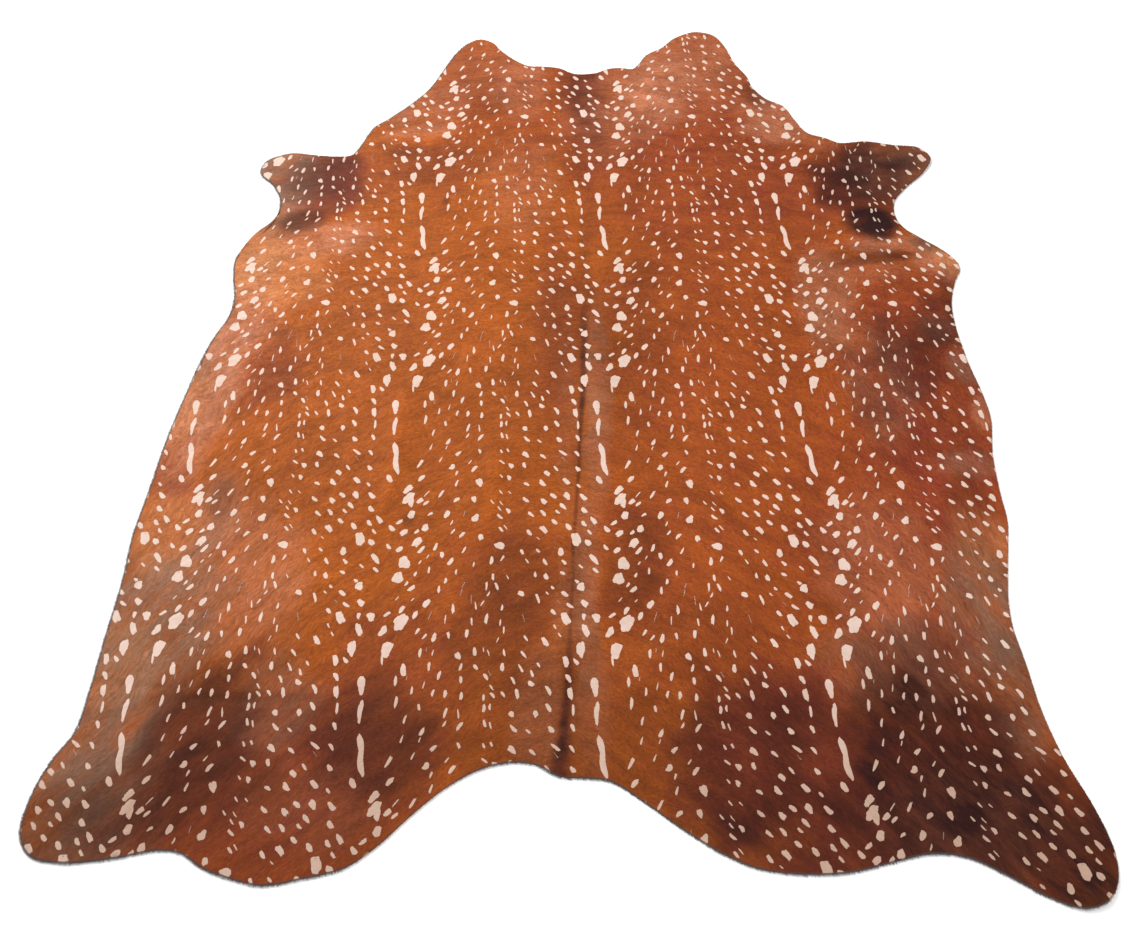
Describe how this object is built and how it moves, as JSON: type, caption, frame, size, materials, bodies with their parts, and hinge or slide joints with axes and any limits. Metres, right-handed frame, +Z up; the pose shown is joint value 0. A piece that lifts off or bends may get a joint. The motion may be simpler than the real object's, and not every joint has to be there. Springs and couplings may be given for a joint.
{
  "type": "cowhide rug",
  "caption": "Whole cowhide floor rug lying flat, hair side up: brown natural hair with a pale spotted print, and the outline of neck, shanks, flanks and rump.",
  "frame": {"origin": "middle of the outline's bounding box, on the flat underside", "axes": "+Z up out of the hair side, +Y along the spine towards the neck, +X to the right as seen from the tail"},
  "size_m": [1.9552, 2.278, 0.0089],
  "materials": {
    "brown_hair": "short cow hair lying flat, ochre to red-brown with dark natural patches, soft sheen",
    "pale_print": "spots of bleached hair, cream, matte, flush with the brown hair",
    "suede": "tanned flesh side and cut edge, pale tan suede, matte with a fine nap"
  },
  "bodies": {
    "root": {"hide": "brown_hair"}
  },
  "joints": []
}
